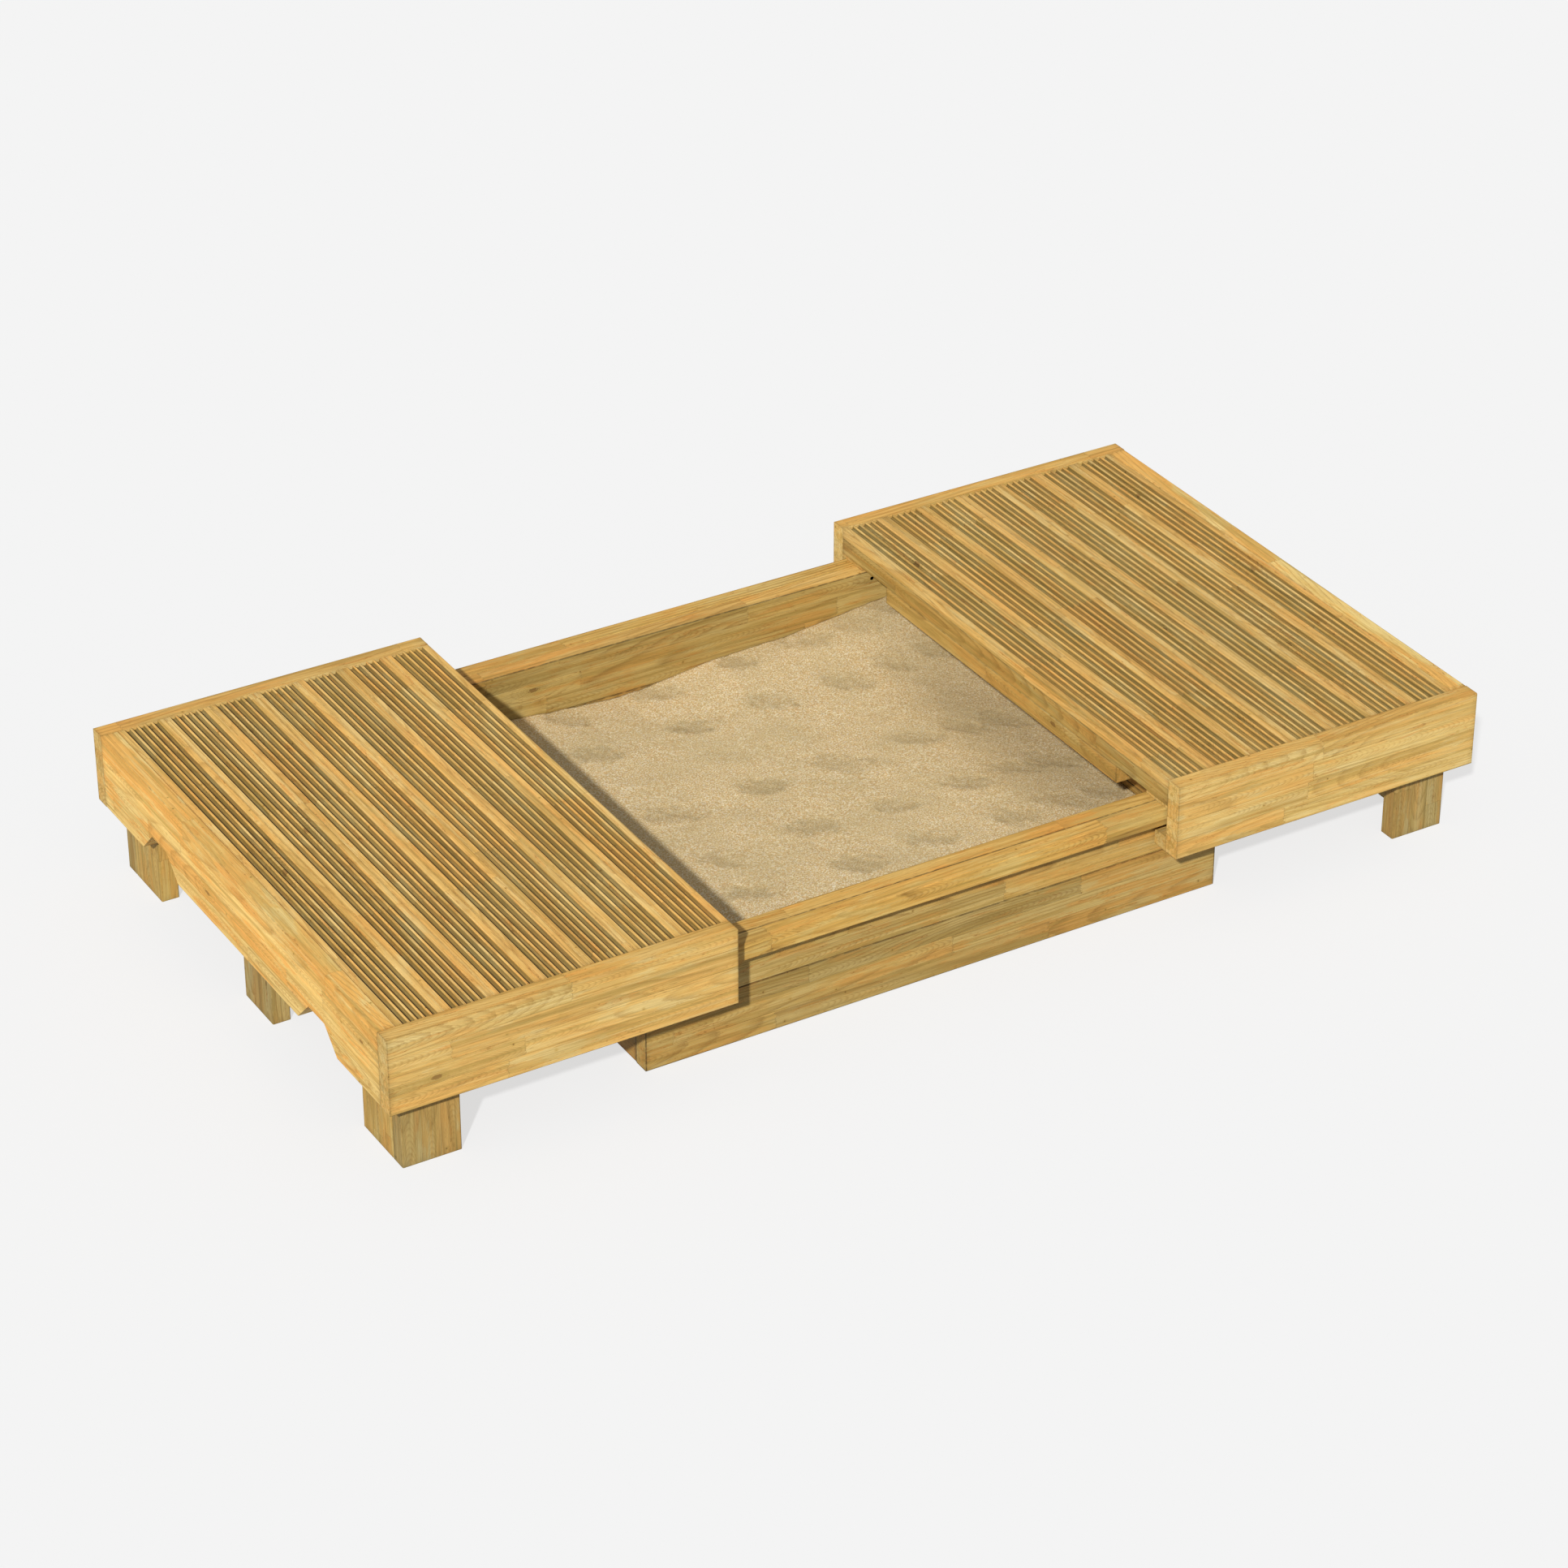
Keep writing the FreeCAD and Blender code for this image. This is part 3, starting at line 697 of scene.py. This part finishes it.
def sand_surface(xs, ys):
    """Heights, and dampness together with painted shade, on a grid."""
    grid_x, grid_y = np.meshgrid(xs, ys, indexing="ij")
    near_bank = bell(ys.max() - grid_y, BANK_REACH)
    broad = waves(xs, ys, *BROAD_WAVE)
    middle = waves(xs, ys, *MIDDLE_WAVE)
    fine = waves(xs, ys, *FINE_WAVE, octaves=2)
    ragged = waves(xs, ys, *RAGGED_WAVE)
    height = SAND_LEVEL + (np.interp(grid_x, BANK_X, BANK_Z) - SAND_LEVEL) * near_bank
    height -= RIGHT_FALL * smooth(0.42, 0.72, grid_x) * (1 - near_bank)
    height += BROAD_HEIGHT * broad * (1 - 0.7 * near_bank)
    height += MIDDLE_HEIGHT * middle + FINE_HEIGHT * fine
    # painted shade towards the right, next to the right cover, with a little uneven damp
    damp_and_shade = RIGHT_SHADE * smooth(0.26, 0.68, grid_x) + 0.04 * middle
    wobble = 0.26 * middle + 0.32 * ragged
    for hollow in scatter_hollows():
        rise, dark = press_hollow(hollow, grid_x, grid_y, wobble, ragged)
        height += rise
        damp_and_shade += dark * (1 - 0.8 * damp_and_shade)
    return height, np.clip(damp_and_shade, 0, 1)


def lay_surface(bm, xs, ys, height, damp_and_shade, kept):
    layer = bm.verts.layers.float.new("damp_and_shade")
    grid = {}
    for i, x in enumerate(xs):
        for j, y in enumerate(ys):
            if kept[i, j]:
                grid[i, j] = bm.verts.new((x, y, height[i, j]))
                grid[i, j][layer] = damp_and_shade[i, j]
    for i, j in grid:
        corners = [grid.get(c) for c in ((i, j), (i + 1, j), (i + 1, j + 1), (i, j + 1))]
        if None not in corners:
            bm.faces.new(corners)


def close_below(bm, bottom):
    """Walls from the rim of the surface down to the bottom, and a bottom."""
    rim = [edge for edge in bm.edges if edge.is_boundary]
    for item in bmesh.ops.extrude_edge_only(bm, edges=rim)["geom"]:
        if isinstance(item, bmesh.types.BMVert):
            item.co.z = bottom
    bmesh.ops.holes_fill(bm, edges=[edge for edge in bm.edges if edge.is_boundary], sides=0)
    bmesh.ops.recalc_face_normals(bm, faces=bm.faces)


def make_sand():
    low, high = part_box("sand")
    gap = low.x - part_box("left_wall_lower_board")[1].x
    notch = POST_WIDTH + 2 * gap
    xs, ys = (np.linspace(low[axis], high[axis], round((high[axis] - low[axis]) / SAND_STEP) + 1)
              for axis in (0, 1))
    height, damp_and_shade = sand_surface(xs, ys)
    clear_x = (xs >= low.x + notch) & (xs <= high.x - notch)
    clear_y = (ys >= low.y + notch) & (ys <= high.y - notch)
    bm = bmesh.new()
    lay_surface(bm, xs, ys, height, damp_and_shade, kept=clear_x[:, None] | clear_y)
    close_below(bm, low.z)
    for face in bm.faces:
        face.smooth = abs(face.normal.z) > 0.5
    mesh = bpy.data.meshes.new("play_sand")
    bm.to_mesh(mesh)
    bm.free()
    piece = bpy.data.objects.new("play_sand", mesh)
    scene.collection.objects.link(piece)
    return piece


# ---------------------------------------------------------------- the sand's looks
SAND = (0.580, 0.440, 0.216)
SAND_CLUMP = (0.606, 0.470, 0.242)
SAND_LIGHT = (0.790, 0.705, 0.490)
SAND_DARK = (0.430, 0.290, 0.125)
SAND_RUST = (0.620, 0.350, 0.135)
SAND_QUARTZ = (0.700, 0.640, 0.520)
SAND_IRON = (0.420, 0.230, 0.100)
SAND_DRIFT = (0.430, 0.340, 0.170)
# the colour of damp sand, also used for the painted shade
SAND_WET_AND_SHADE = (0.260, 0.195, 0.085)
GRAINS = 330.0                # to a metre
ELSEWHERE = (3.1, 5.3, 0.7)   # takes the rusty noise away from the coarse one


def sand_material():
    g = Graph("dry_sand")
    place = g.row_frame()
    damp_and_shade = g.attribute("damp_and_shade", "GEOMETRY")["Fac"]
    grain, _, lottery = g.split_colour(g.cells(place, GRAINS)["Color"])
    coarse = g.noise(place, 250.0, detail=3, rough=0.7)
    rust = g.noise(g.vector("ADD", place, ELSEWHERE), 270.0, detail=2, rough=0.6)
    clump = g.noise(place, 38.0, detail=4, rough=0.6)
    drift = g.noise(place, 6.0, detail=3)
    colour = g.mix(g.span(clump, 0.35, 0.68), SAND, SAND_CLUMP)
    colour = g.mix(g.span(coarse, 0.51, 0.61, 0.0, 0.90), colour, SAND_LIGHT)
    colour = g.mix(g.span(coarse, 0.39, 0.49, 0.95, 0.0), colour, SAND_DARK)
    colour = g.mix(g.span(rust, 0.53, 0.61, 0.0, 0.60), colour, SAND_RUST)
    colour = g.mix(g.span(grain, 0.86, 0.90, 0.0, 0.45), colour, SAND_QUARTZ)
    colour = g.mix(g.span(lottery, 0.88, 0.92, 0.0, 0.45), colour, SAND_IRON)
    colour = g.mix(g.span(drift, 0.35, 0.70, 0.0, 0.30), colour, SAND_DRIFT)
    # damp hollows and the painted shade at the right both darken the sand
    darkening = g.mul(damp_and_shade, g.span(coarse, 0.25, 0.60, 1.0, 0.75))
    colour = g.mix(g.mul(darkening, 0.85), colour, SAND_WET_AND_SHADE)
    roughness = g.span(damp_and_shade, 0.0, 1.0, 0.95, 0.80)
    height = g.add(g.mul(coarse, 0.8), g.add(g.mul(grain, 0.35), clump))
    return g.finish(colour, roughness, height, depth=0.0016, specular=0.15)


sand = make_sand()
sand.data.materials.append(sand_material())
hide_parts("sand")
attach(sand, "box")


# ---------------------------------------------------------------- floor, light and camera
FLOOR_RADIUS = 60.0
FLOOR_DROP = 0.0004           # keeps the floor clear of the boards that stand on it
FLOOR_GREY = (0.20, 0.20, 0.20)
FLOOR_GLOW = 0.678
SUN_STRENGTH = 4.02
SUN_SPREAD = math.radians(2.2)
SUN_HEADING = (0.54, 0.61, -0.57)
SKY_STRENGTH = 0.40
SKY = (1.0, 1.0, 1.0)
BACKDROP = (0.905, 0.905, 0.905)
# the camera, solved from the straight edges of the boards in the photograph
CAMERA_PLACE = (-5.0210, -8.4124, 6.0293)
CAMERA_HEADING = math.radians(30.755)  # from +Y towards +X
CAMERA_FALL = math.radians(30.884)     # below the horizon
SENSOR_WIDTH = 36.0
LENS = 109.34
FAR_CLIP = 200.0


def floor_material():
    g = Graph("pale_floor")
    shader = g.node("ShaderNodeBsdfPrincipled", {
        "Base Color": FLOOR_GREY, "Roughness": 1.0, "Specular IOR Level": 0.0,
        "Emission Color": SKY, "Emission Strength": FLOOR_GLOW})
    output = g.node("ShaderNodeOutputMaterial")
    g.tree.links.new(shader.outputs[0], output.inputs[0])
    return g.material


def make_floor():
    mesh = bpy.data.meshes.new("floor")
    bm = bmesh.new()
    bmesh.ops.create_circle(bm, cap_ends=True, segments=96, radius=FLOOR_RADIUS)
    bm.to_mesh(mesh)
    bm.free()
    mesh.materials.append(floor_material())
    floor = bpy.data.objects.new("floor", mesh)
    floor.location.z = -FLOOR_DROP
    scene.collection.objects.link(floor)
    # the object is lit by the lights and not by the pale floor
    floor.visible_diffuse = False
    floor.visible_glossy = False


def aim(thing, heading):
    """Turns a lamp or a camera to look along a heading."""
    thing.rotation_mode = "QUATERNION"
    thing.rotation_quaternion = Vector(heading).to_track_quat("-Z", "Y")


def make_sun():
    data = bpy.data.lights.new("key", "SUN")
    data.energy = SUN_STRENGTH
    data.angle = SUN_SPREAD
    sun = bpy.data.objects.new("key", data)
    aim(sun, SUN_HEADING)
    scene.collection.objects.link(sun)


def make_world():
    """A soft white sky that the camera sees as a pale backdrop."""
    world = bpy.data.worlds.new("studio")
    world.use_nodes = True
    tree = world.node_tree
    tree.nodes.clear()
    mix = tree.nodes.new("ShaderNodeMixShader")
    for place, (colour, strength) in enumerate(((SKY, SKY_STRENGTH), (BACKDROP, 1.0)), start=1):
        background = tree.nodes.new("ShaderNodeBackground")
        background.inputs["Color"].default_value = (*colour, 1.0)
        background.inputs["Strength"].default_value = strength
        tree.links.new(background.outputs[0], mix.inputs[place])
    ray = tree.nodes.new("ShaderNodeLightPath")
    tree.links.new(ray.outputs["Is Camera Ray"], mix.inputs[0])
    output = tree.nodes.new("ShaderNodeOutputWorld")
    tree.links.new(mix.outputs[0], output.inputs[0])
    scene.world = world


def make_camera():
    data = bpy.data.cameras.new("camera")
    data.sensor_width = SENSOR_WIDTH
    data.lens = LENS
    data.clip_end = FAR_CLIP
    camera = bpy.data.objects.new("camera", data)
    camera.location = CAMERA_PLACE
    level = math.cos(CAMERA_FALL)
    aim(camera, (math.sin(CAMERA_HEADING) * level, math.cos(CAMERA_HEADING) * level,
                 -math.sin(CAMERA_FALL)))
    scene.collection.objects.link(camera)
    scene.camera = camera


make_floor()
make_sun()
make_world()
make_camera()
